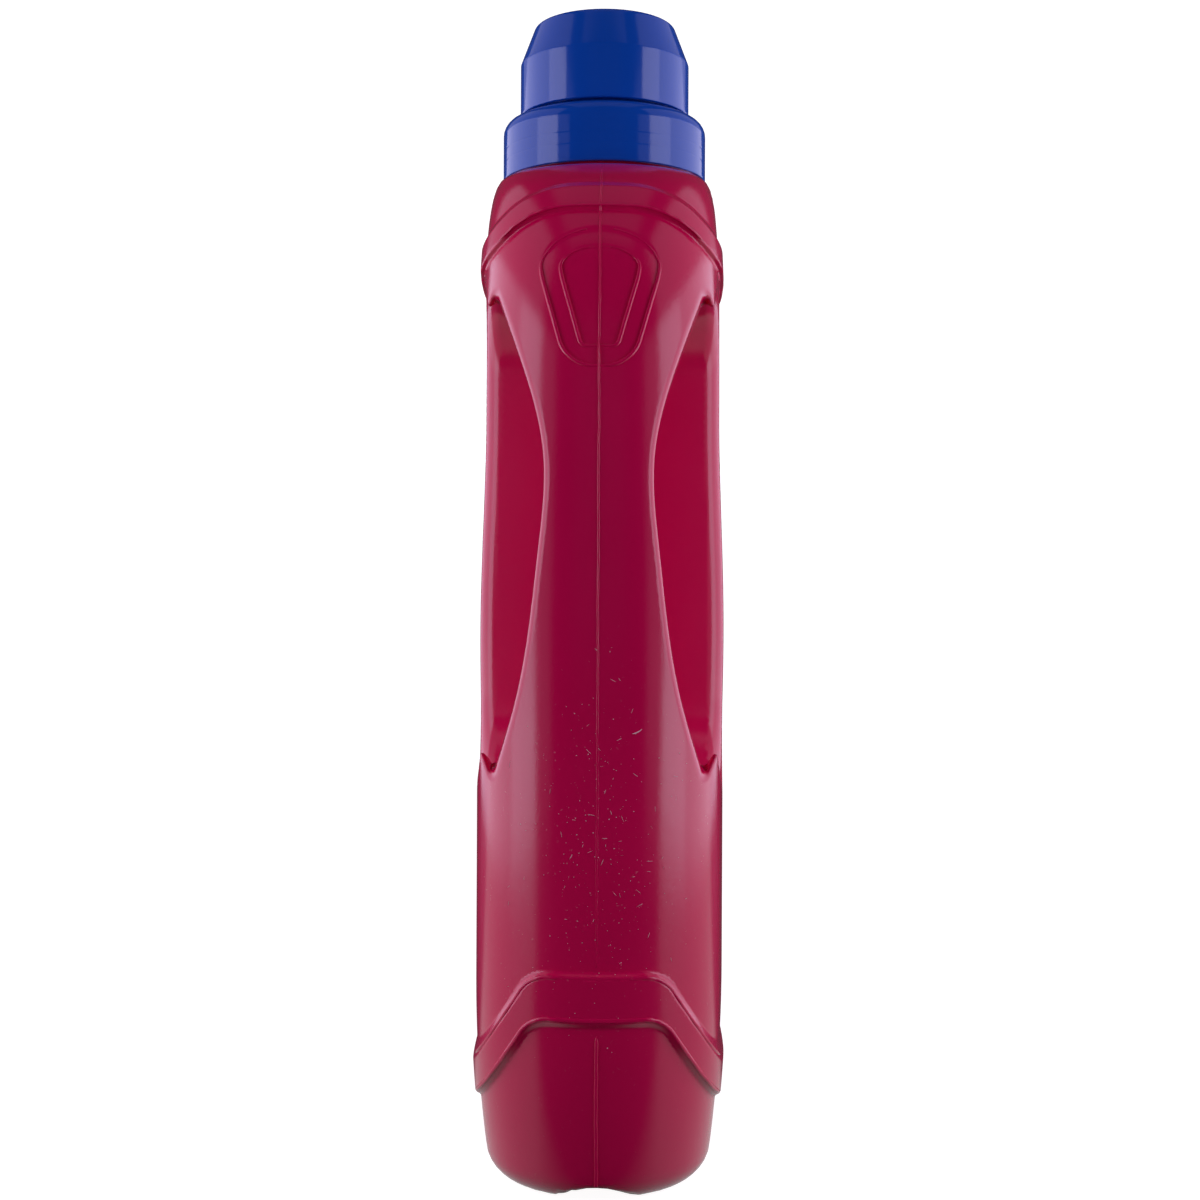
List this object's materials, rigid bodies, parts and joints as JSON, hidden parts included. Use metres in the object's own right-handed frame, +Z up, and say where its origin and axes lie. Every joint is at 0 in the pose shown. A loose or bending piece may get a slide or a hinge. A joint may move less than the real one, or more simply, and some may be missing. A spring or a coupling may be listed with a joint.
{
  "type": "laundry detergent bottle",
  "caption": "Flat blow-moulded detergent bottle with a through-grip, arched base band and a two-tier dosing closure that lifts off.",
  "frame": {"origin": "centre of the bounding box on the plane the bottle stands on", "axes": "+Z up through the neck, +X towards the grip bar, +Y through the label faces"},
  "size_m": [0.1514, 0.0658, 0.3015],
  "materials": {
    "body_plastic": "satin crimson polyethylene",
    "collar_plastic": "gloss blue polypropylene",
    "cap_plastic": "gloss blue polypropylene"
  },
  "bodies": {
    "bottle": {"bottle": "body_plastic", "pour_spout": "collar_plastic"},
    "cap": {"dosing_cap": "cap_plastic"}
  },
  "joints": [
    {"name": "cap_lift", "type": "slide", "parent": "bottle", "child": "cap", "axis": [0, 0, 1], "range_m": [0, 0.045]}
  ]
}
